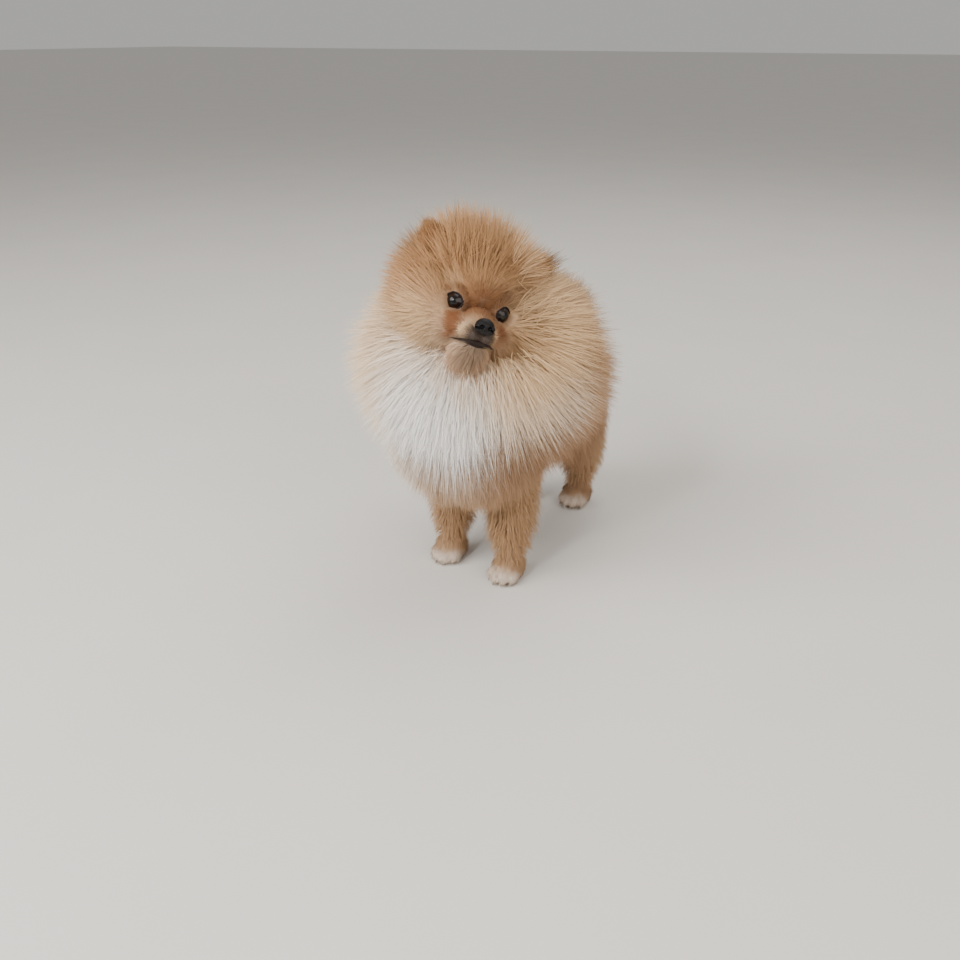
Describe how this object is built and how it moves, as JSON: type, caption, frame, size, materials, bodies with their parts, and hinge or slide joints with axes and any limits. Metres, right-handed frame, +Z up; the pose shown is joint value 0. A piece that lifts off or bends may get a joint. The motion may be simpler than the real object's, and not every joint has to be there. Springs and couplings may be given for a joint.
{
  "type": "pomeranian dog model",
  "caption": "Life-size still model of a standing pomeranian with a long stand-off coat, its head turned and tilted, and a plumed tail over the back.",
  "frame": {"origin": "middle of the model's box, on the floor that its paws stand on", "axes": "+Z up; the dog's body faces -Y, and +X is its left side"},
  "size_m": [0.2166, 0.2828, 0.3104],
  "materials": {
    "coat": "soft long fur, cream with orange shading",
    "paw": "short white fur",
    "ear": "thin furred ear leather",
    "eye": "wet dark brown eye",
    "nose": "moist black leather"
  },
  "bodies": {
    "root": {"head": "coat", "neck_ruff": "coat", "torso": "coat", "tail": "coat", "ear_left": "ear", "ear_right": "ear", "eye_left": "eye", "eye_right": "eye", "nose": "nose", "foreleg_left": "coat", "foreleg_right": "coat", "hindleg_left": "coat", "hindleg_right": "coat", "forepaw_left": "paw", "forepaw_right": "paw", "hindpaw_left": "paw", "hindpaw_right": "paw"}
  },
  "joints": []
}
